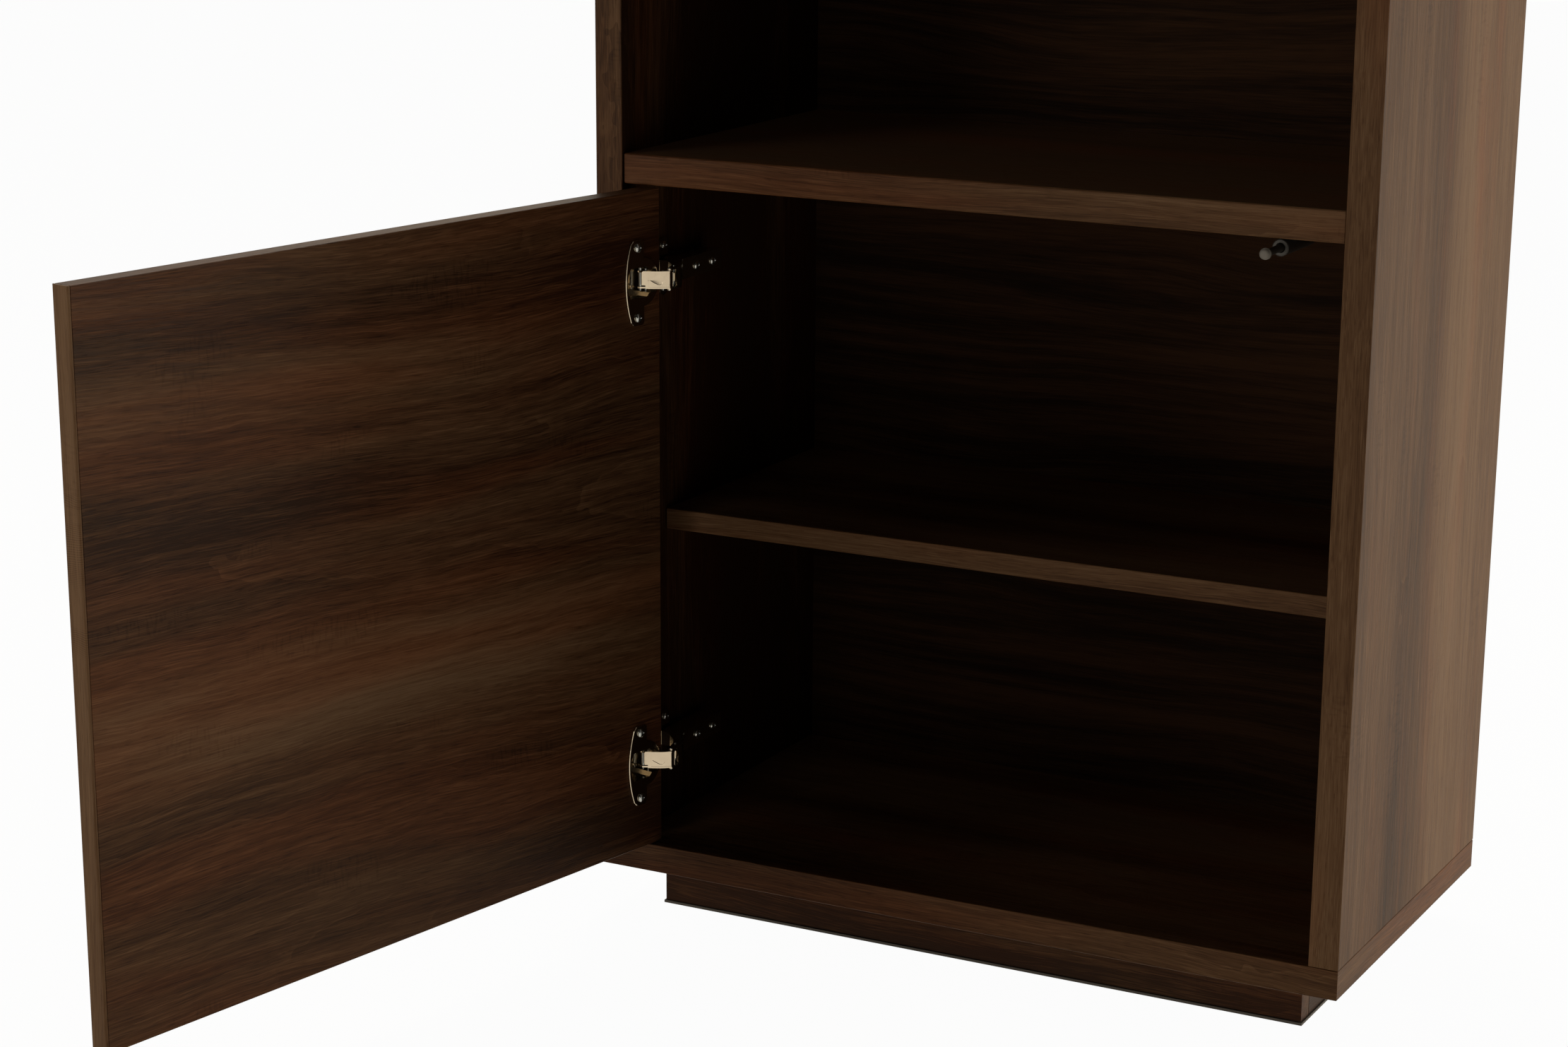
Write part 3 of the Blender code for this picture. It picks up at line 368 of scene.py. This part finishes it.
def moulded(name, colour, roughness):
    """Moulded plastic with a fine skin."""
    finish = material(name)
    axes = grain_axes(finish, "X")
    skin = streaks(finish, axes, 0.0008, 0.0008, 2.0)
    cloud = streaks(finish, axes, 0.01, 0.01, 2.0)
    bump = finish.node("Bump", {}, {"Strength": 0.2, "Distance": 0.0001, "Height": skin})
    tint = finish.mix(cloud + 0.5, colour, [part * 0.8 for part in colour])
    return surface(finish, {"Base Color": tint, "Roughness": skin * 0.2 + roughness, "Normal": bump})


def dress(finished, *names):
    """Gives CAD nodes one finished material in place of their plain ones."""
    for name in names:
        slots = frame["nodes"][name].data.materials
        slots.clear()
        slots.append(finished)


def hinge_nodes(*endings):
    """The names of both hinges' nodes with these endings."""
    return [f"{height}_{ending}" for height in ("upper", "lower") for ending in endings]


dress(walnut("walnut_left_side", "Z", shift=(0.3, 0.1, 0.0), tone=-0.08, detail=left_print_with_painted_inside_shade), "left_side")
dress(walnut(
    "walnut_right_side", "Z", shift=(1.7, 0.4, 0.2),
    tone=0.17, red=-0.10, bands=1.3, detail=side_print_with_painted_back_light), "right_side")
dress(walnut("walnut_bottom_panel", "X", shift=(0.8, 1.1, 0.5), end=BOARD_END), "bottom_panel")
dress(walnut("walnut_top_panel", "X", shift=(2.2, 0.7, 0.0), end=BOARD_END), "top_panel")
dress(walnut("walnut_fixed_shelf", "X", shift=(3.1, 0.2, 0.3), tone=-0.10, detail=shelf_top_painted_light), "fixed_shelf")
dress(walnut("walnut_inner_shelf", "X", shift=(4.3, 1.9, 0.6), tone=0.12), "inner_shelf")
dress(back_foil_with_painted_shade("back_foil_with_painted_shade"), "back_panel")
dress(walnut(
    "walnut_door", "X", turn=DOOR_TURN, shift=(0.9, 0.3, 0.35),
    tone=-0.16, red=0.06, slope=-0.02, bands=2.0, detail=door_print_with_painted_hinge_shade), "door")
dress(walnut(
    "walnut_door_band", "Z", turn=DOOR_TURN, shift=(1.4, 0.0, 0.2),
    tone=0.52, red=-0.12, detail=combed), "door_edge_band")
dress(walnut("plinth_across", "X", shift=(6.1, 0.6, 0.0), tone=-0.4), "plinth_front", "plinth_back")
dress(walnut("plinth_sides", "Y", shift=(7.4, 0.2, 0.0), tone=-0.3), "plinth_left", "plinth_right")
foot_strips = [f"foot_strip_{side}" for side in ("front", "back", "left", "right")]
dress(moulded("foot_grey", (0.058, 0.051, 0.043), 0.7), *foot_strips)

NICKEL = plated("nickel", (0.60, 0.53, 0.42), 0.16)
STEEL = plated("screw_steel", (0.46, 0.49, 0.50), 0.24)
LATCH_GREY = moulded("latch_grey", (0.024, 0.023, 0.021), 0.45)
TIP_GREY = moulded("tip_grey", (0.17, 0.16, 0.145), 0.6)
dress(NICKEL, *hinge_nodes("hinge_cup", "outer_link", "inner_link", "hinge_arm", "mounting_plate"))
shelf_pins = [f"shelf_pin_{side}_{depth}" for side in ("left", "right") for depth in ("front", "back")]
dress(NICKEL, *shelf_pins)
dress(LATCH_GREY, "latch_housing", "plunger")


def lathe(profile, matrix, steps=48):
    """A profile of (radius, height) points, from axis to axis, spun about Z and put in its place."""
    form = bmesh.new()
    line = [form.verts.new((radius, 0, height)) for radius, height in profile]
    edges = [form.edges.new(pair) for pair in zip(line, line[1:])]
    bmesh.ops.spin(
        form, geom=line + edges, axis=(0, 0, 1), cent=(0, 0, 0), angle=2 * pi, steps=steps, use_merge=True)
    bmesh.ops.remove_doubles(form, verts=form.verts, dist=0.0000001)
    bmesh.ops.recalc_face_normals(form, faces=form.faces[:])
    bmesh.ops.transform(form, matrix=matrix, verts=form.verts)
    return form


def plain_object(name, form):
    """A new object at the origin from a form, which is used up."""
    mesh = bpy.data.meshes.new(name)
    form.to_mesh(mesh)
    form.free()
    made = bpy.data.objects.new(name, mesh)
    bpy.context.collection.objects.link(made)
    return made


def stand_for(node, name, form, finished):
    """A finished piece from a form, smooth but for its sharp edges, in a CAD node's place and on its body."""
    for face in form.faces:
        face.smooth = True
    for edge in form.edges:
        edge.smooth = edge.smooth and edge.calc_face_angle(0) < SHARP_EDGE
    made = plain_object(name, form)
    made.data.materials.append(finished)
    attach(made, frame["nodes"][node]["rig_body"])
    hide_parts(node)


def axis_matrix(node, direction):
    """The matrix of a round CAD node, its Z along a direction and 0 at its near end, and its length."""
    direction = Vector(direction)
    points = [vertex.co for vertex in frame["nodes"][node].data.vertices]
    middle = sum(points, Vector()) / len(points)
    reaches = [(point - middle).dot(direction) for point in points]
    near = middle + direction * min(reaches)
    turn = direction.to_track_quat("Z", "Y").to_matrix().to_4x4()
    return Matrix.Translation(near) @ turn, max(reaches) - min(reaches)


def cross_recess(reach, half_width, depth, matrix):
    """A cross to cut into a screw head, half as wide at its bottom, which starts a little outside the head."""
    form = bmesh.new()
    bmesh.ops.create_grid(form, x_segments=3, y_segments=3, size=reach)
    narrow = half_width * 3 / reach
    for axis in range(2):
        inner = [vertex for vertex in form.verts if abs(vertex.co[axis]) < reach / 2]
        shrink = (narrow, 1, 1) if axis == 0 else (1, narrow, 1)
        bmesh.ops.scale(form, vec=shrink, verts=inner)
    corners = [face for face in form.faces if min(map(abs, face.calc_center_median()[:2])) > half_width]
    bmesh.ops.delete(form, geom=corners, context="FACES")
    grown = bmesh.ops.extrude_face_region(form, geom=form.faces[:])["geom"]
    low = [part for part in grown if isinstance(part, bmesh.types.BMVert)]
    bmesh.ops.translate(form, vec=(0, 0, depth), verts=low)
    bmesh.ops.scale(form, vec=(0.5, 0.5, 1), verts=low)
    bmesh.ops.translate(form, vec=(0, 0, -depth * 0.3), verts=form.verts)
    bmesh.ops.recalc_face_normals(form, faces=form.faces[:])
    bmesh.ops.transform(form, matrix=matrix, verts=form.verts)
    return form


def carved(form, cutter):
    """The form with the cutter's space taken out."""
    body, tool = plain_object("uncut", form), plain_object("cutter", cutter)
    cut = body.modifiers.new("cut", "BOOLEAN")
    cut.solver = "EXACT"
    cut.object = tool
    mesh = bpy.data.meshes.new_from_object(body.evaluated_get(bpy.context.evaluated_depsgraph_get()))
    made = bmesh.new()
    made.from_mesh(mesh)
    for spare in (body, tool):
        bpy.data.objects.remove(spare)
    return made


def screw(node, direction):
    """A domed cross-head screw with a rounded rim and a tapered shank."""
    matrix, length = axis_matrix(node, direction)
    head, cap, shank = SCREW_HEAD_RADIUS, SCREW_HEAD_HEIGHT, SCREW_SHANK_RADIUS
    angles = [radians(15 * step) for step in range(7)]
    dome = [(head * sin(angle), cap * 0.86 * (1 - cos(angle))) for angle in angles]
    rim = [(head, cap * 0.95), (head - 0.0002, cap)]
    stem = [(shank, cap), (shank, length - 0.0027), (0.0007, length - 0.0004), (0, length)]
    form = carved(lathe(dome + rim + stem, matrix), cross_recess(0.0021, 0.00036, 0.0012, matrix))
    stand_for(node, f"{node}_crosshead", form, STEEL)


def pin(node, head):
    """An upright hinge pin, its heads as wide as this and their edges rounded."""
    matrix, length = axis_matrix(node, (0, 0, 1))
    near = [(0, 0), (head - 0.0003, 0.00003), (head - 0.0001, 0.00012), (head, 0.0003)]
    near += [(head, PIN_HEAD_HEIGHT), (PIN_RADIUS, PIN_HEAD_HEIGHT)]
    form = lathe(near + [(radius, length - height) for radius, height in near[::-1]], matrix, 40)
    stand_for(node, f"{node}_turned", form, STEEL)


def latch_tip():
    """The latch's soft tip: a rounded nose, a groove, a wider rim and the socket that takes the plunger."""
    matrix, length = axis_matrix("plunger_tip", (0, 1, 0))
    nose = [(0, 0), (0.0018, 0.00006), (0.0027, 0.0003), (0.0033, 0.0008), (0.0036, 0.0014), (0.0035, 0.0017)]
    groove = [(0.0031, 0.0019), (0.0031, 0.0025), (0.0036, 0.0027), (0.0040, 0.0031), (0.0040, length - 0.0003)]
    bottom = length - TIP_SOCKET_DEPTH
    socket = [(0.0037, length), (TIP_SOCKET_RADIUS, length), (TIP_SOCKET_RADIUS, bottom), (0, bottom)]
    form = lathe(nose + groove + socket, matrix, 64)
    stand_for("plunger_tip", "plunger_tip_grooved", form, TIP_GREY)


def in_dimple(x, y, z):
    """Whether a point of the outer link lies on the bottom of the CAD dimple."""
    below = y - x * DIMPLE_BOTTOM_LEAN - DIMPLE_BOTTOM
    inside = DIMPLE_REACH[0] < x < DIMPLE_REACH[1] and abs(z) < DIMPLE_HALF_WIDTH
    return inside and abs(below) < DIMPLE_TOLERANCE


def pressed_link(node):
    """The outer link with its dimple pressed as a smooth drop-shaped bowl, from the CAD dimple's own rim.

    The work is done with X along the link and the web level, and the web's flat shading is kept apart.
    """
    low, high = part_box(node)
    link_frame = Matrix.Translation((*ARM_RIVET, (low[2] + high[2]) / 2)) @ Matrix.Rotation(LINK_HEADING, 4, "Z")
    link_frame = link_frame @ Matrix(((1, 0, 0, 0), (-WEB_LEAN, 1, 0, 0), (0, 0, 1, 0), (0, 0, 0, 1)))
    form = bmesh.new()
    form.from_mesh(frame["nodes"][node].data)
    bmesh.ops.remove_doubles(form, verts=form.verts, dist=0.000001)
    bmesh.ops.transform(form, matrix=link_frame.inverted(), verts=form.verts)
    bottom = [vertex for vertex in form.verts if in_dimple(*vertex.co)]
    centre = sum((vertex.co for vertex in bottom), Vector()) / len(bottom)
    bmesh.ops.delete(form, geom=bottom, context="VERTS")
    ring = [edge for edge in form.edges if edge.is_boundary]
    centre.y = sum(edge.verts[0].co.y for edge in ring) / len(ring) - BOWL_DEPTH
    for edge in ring:
        edge.smooth = False
    drop = BOWL_STEP
    for share in BOWL_RINGS:
        grown = bmesh.ops.extrude_edge_only(form, edges=ring)["geom"]
        inner = [part for part in grown if isinstance(part, bmesh.types.BMVert)]
        ring = [part for part in grown if isinstance(part, bmesh.types.BMEdge) and part.is_boundary]
        shrink = Matrix.Diagonal((share, share * share, share, 1))
        toward = Matrix.Translation(centre - Vector((0, drop, 0))) @ shrink @ Matrix.Translation(-centre)
        bmesh.ops.transform(form, matrix=toward, verts=inner)
        drop = 0
    bmesh.ops.holes_fill(form, edges=ring)
    bmesh.ops.recalc_face_normals(form, faces=form.faces[:])
    for edge in form.edges:
        tilts = [abs(face.normal.z) for face in edge.link_faces]
        edge.smooth = edge.smooth and not min(tilts) < LEVEL_TILT < SLOPE_TILT < max(tilts)
    bmesh.ops.transform(form, matrix=link_frame, verts=form.verts)
    stand_for(node, f"{node}_pressed", form, NICKEL)


for link in hinge_nodes("outer_link"):
    pressed_link(link)
DOOR_OUTWARD = Matrix.Rotation(-DOOR_TURN, 3, "Z") @ Vector((0, -1, 0))
for cup_screw in hinge_nodes("cup_screw_top", "cup_screw_bottom"):
    screw(cup_screw, DOOR_OUTWARD)
for arm_screw in hinge_nodes("plate_screw_top", "plate_screw_bottom", "adjust_screw", "clamp_screw"):
    screw(arm_screw, (-1, 0, 0))
for latch_screw in ("latch_screw_left", "latch_screw_right"):
    screw(latch_screw, (0, 0, 1))
for cup_pin in hinge_nodes("cup_pin_outer", "cup_pin_inner"):
    pin(cup_pin, PIN_RADIUS)
for arm_pin in hinge_nodes("arm_pin_outer", "arm_pin_inner"):
    pin(arm_pin, PIN_HEAD_RADIUS)
latch_tip()


def floor():
    """A pale floor that the camera sees as white, except for the cabinet's soft shadow."""
    form = bmesh.new()
    bmesh.ops.create_grid(form, x_segments=1, y_segments=1, size=FLOOR_HALF_SIZE)
    bmesh.ops.translate(form, vec=(0, 0, -FLOOR_DROP), verts=form.verts)
    made = plain_object("floor", form)
    finish = material("floor_white")
    camera, mirrored = background_rays(finish)
    pale = finish.node("BsdfDiffuse", {}, {"Color": (*FLOOR_WHITE, 1.0)})
    tint = finish.mix(camera, WARM_WHITE, PLAIN_WHITE)
    glow = finish.node("Emission", {}, {"Color": tint, "Strength": 1.0})
    seen = finish.math("MAXIMUM", camera * FLOOR_SEEN, mirrored * FLOOR_MIRRORED)
    seen = finish.math("MAXIMUM", seen, FLOOR_BOUNCE)
    both = finish.node("MixShader", {}, {0: seen, 1: pale, 2: glow})
    finish.node("OutputMaterial", {}, {"Surface": both})
    made.data.materials.append(finish.owner)


def background_rays(finish):
    """1 for the rays that see the background directly, and 1 for those that see it mirrored or through glass."""
    kinds = ("Is Camera Ray", "Is Glossy Ray", "Is Transmission Ray")
    camera, glossy, through = [finish.node("LightPath", {}, {}, kind) for kind in kinds]
    return camera, finish.math("MAXIMUM", glossy, through)


def studio():
    """White surroundings, bright behind the cabinet and dim behind the camera."""
    world = bpy.data.worlds.new("studio")
    bpy.context.scene.world = world
    finish = Finish(world)
    heading = finish.node("TexCoord", {}, {}, "Generated")
    depth = finish.node("SeparateXYZ", {}, {0: heading}, "Y")
    behind = finish.between(depth, *WORLD_EDGE)
    camera, mirrored = background_rays(finish)
    level = behind * (mirrored * (WORLD_MIRRORED - WORLD_LIGHT) + WORLD_LIGHT) + WORLD_FRONT
    strength = finish.math("MAXIMUM", camera, level)
    tint = finish.mix(camera, WARM_WHITE, PLAIN_WHITE)
    light = finish.node("Background", {}, {"Color": tint, "Strength": strength})
    finish.node("OutputWorld", {}, {"Surface": light})


def softbox(name, place, aim, size, power):
    """A large lamp turned towards a point, which the camera doesn't see."""
    lamp = bpy.data.lights.new(name, "AREA")
    lamp.shape = "RECTANGLE"
    lamp.size, lamp.size_y = size
    lamp.energy = power
    lamp.color = WARM_WHITE
    made = bpy.data.objects.new(name, lamp)
    bpy.context.collection.objects.link(made)
    heading = Vector(aim) - Vector(place)
    made.matrix_world = Matrix.Translation(place) @ heading.to_track_quat("-Z", "Y").to_matrix().to_4x4()
    made.visible_camera = False


def place_camera():
    """The photograph's camera."""
    lens = bpy.data.cameras.new("camera")
    lens.lens = CAMERA_LENS
    lens.sensor_width = CAMERA_SENSOR
    lens.shift_x, lens.shift_y = CAMERA_SHIFT
    made = bpy.data.objects.new("camera", lens)
    bpy.context.collection.objects.link(made)
    aim = Matrix.Rotation(CAMERA_YAW, 4, "Z") @ Matrix.Rotation(pi / 2 - CAMERA_TILT, 4, "X")
    made.matrix_world = Matrix.Translation(CAMERA_PLACE) @ aim @ Matrix.Rotation(CAMERA_ROLL, 4, "Z")
    bpy.context.scene.camera = made


place_camera()
floor()
studio()
softbox("right_softbox", (2.8, 0.9, 0.8), (-0.2, -0.2, 0.40), (1.8, 1.8), 12.0)
softbox("back_softbox", (1.6, 0.9, 0.10), (0.3, 0.2, 0.30), (0.6, 0.8), 20.0)
softbox("left_softbox", (-2.3, -3.3, 1.00), (0.0, -0.1, 0.35), (1.6, 1.6), 30.0)
softbox("front_softbox", (0.0, -3.0, 1.05), (0.0, 0.0, 0.35), (0.8, 0.8), 5.0)
softbox("top_softbox", (-0.6, 1.6, 2.6), (-0.2, 0.0, 0.60), (1.2, 1.2), 40.0)
bpy.context.scene.view_settings.view_transform = "Standard"
